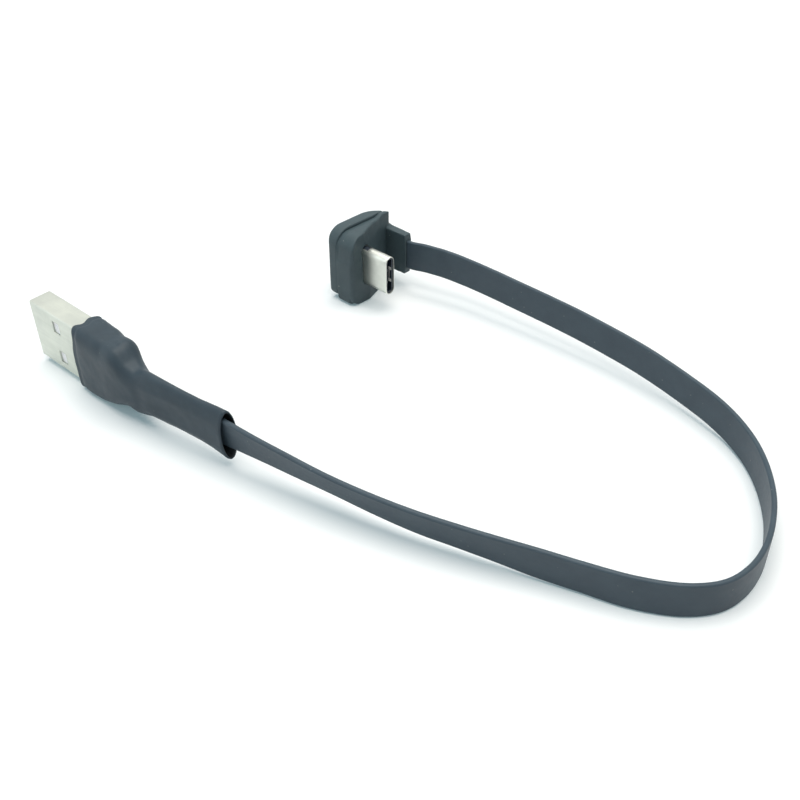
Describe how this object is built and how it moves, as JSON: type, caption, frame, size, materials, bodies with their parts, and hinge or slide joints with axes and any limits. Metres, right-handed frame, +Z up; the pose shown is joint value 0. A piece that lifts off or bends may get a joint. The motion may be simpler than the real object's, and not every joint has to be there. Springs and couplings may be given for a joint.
{
  "type": "charging cable",
  "caption": "Short flat charging cable with a sleeved USB-A plug at one end and a USB-C plug standing in a U-turn moulding at the other.",
  "frame": {"origin": "on the surface the part lies on, under the middle of the USB-C moulding's front block", "axes": "+X along the USB-C plug's mating direction, +Z up from the surface, +Y to the side the cable's loop leaves on"},
  "size_m": [0.1255, 0.0728, 0.0154],
  "materials": {
    "jacket": "satin dark slate grey flat jacket",
    "moulding": "satin dark slate grey moulding, fine moulded grain",
    "shrink": "satin dark heat-shrink tube, bare",
    "inner_plastic": "dark moulded filler",
    "plug_steel": "nickel-plated steel, fine brushing",
    "latch_steel": "bare stamped steel",
    "white_plastic": "white moulded insulator",
    "black_plastic": "black moulded insulator",
    "gold_contact": "gold-plated spring contact",
    "solder": "tin solder",
    "card": "green circuit board",
    "wire_red": "red insulated conductor",
    "wire_white": "white insulated conductor",
    "wire_green": "green insulated conductor",
    "wire_black": "black insulated conductor"
  },
  "bodies": {
    "root": {"cable_jacket": "jacket", "usb_a_shell": "plug_steel", "usb_a_insulator": "white_plastic", "usb_a_contact_vbus": "gold_contact", "usb_a_solder_vbus": "solder", "usb_a_contact_d_minus": "gold_contact", "usb_a_solder_d_minus": "solder", "usb_a_contact_d_plus": "gold_contact", "usb_a_solder_d_plus": "solder", "usb_a_contact_gnd": "gold_contact", "usb_a_solder_gnd": "solder", "usb_a_wire_vbus": "wire_red", "usb_a_wire_d_minus": "wire_white", "usb_a_wire_d_plus": "wire_green", "usb_a_wire_gnd": "wire_black", "usb_a_inner_mould": "inner_plastic", "heat_shrink_sleeve": "shrink", "usb_c_shell": "plug_steel", "usb_c_insulator": "black_plastic", "usb_c_latch_plate": "latch_steel", "usb_c_ground_spring_a": "latch_steel", "usb_c_ground_spring_b": "latch_steel", "usb_c_contact_a1": "gold_contact", "usb_c_contact_a4": "gold_contact", "usb_c_contact_a5": "gold_contact", "usb_c_contact_a6": "gold_contact", "usb_c_contact_a7": "gold_contact", "usb_c_contact_a9": "gold_contact", "usb_c_contact_a12": "gold_contact", "usb_c_contact_b1": "gold_contact", "usb_c_contact_b4": "gold_contact", "usb_c_contact_b9": "gold_contact", "usb_c_contact_b12": "gold_contact", "usb_c_card": "card", "usb_c_resistor": "black_plastic", "usb_c_solder_vbus": "solder", "usb_c_solder_d_minus": "solder", "usb_c_solder_d_plus": "solder", "usb_c_solder_gnd": "solder", "usb_c_wire_vbus": "wire_red", "usb_c_wire_d_minus": "wire_white", "usb_c_wire_d_plus": "wire_green", "usb_c_wire_gnd": "wire_black", "usb_c_front_block": "moulding", "usb_c_back_cover": "moulding", "usb_c_boot": "moulding"}
  },
  "joints": []
}
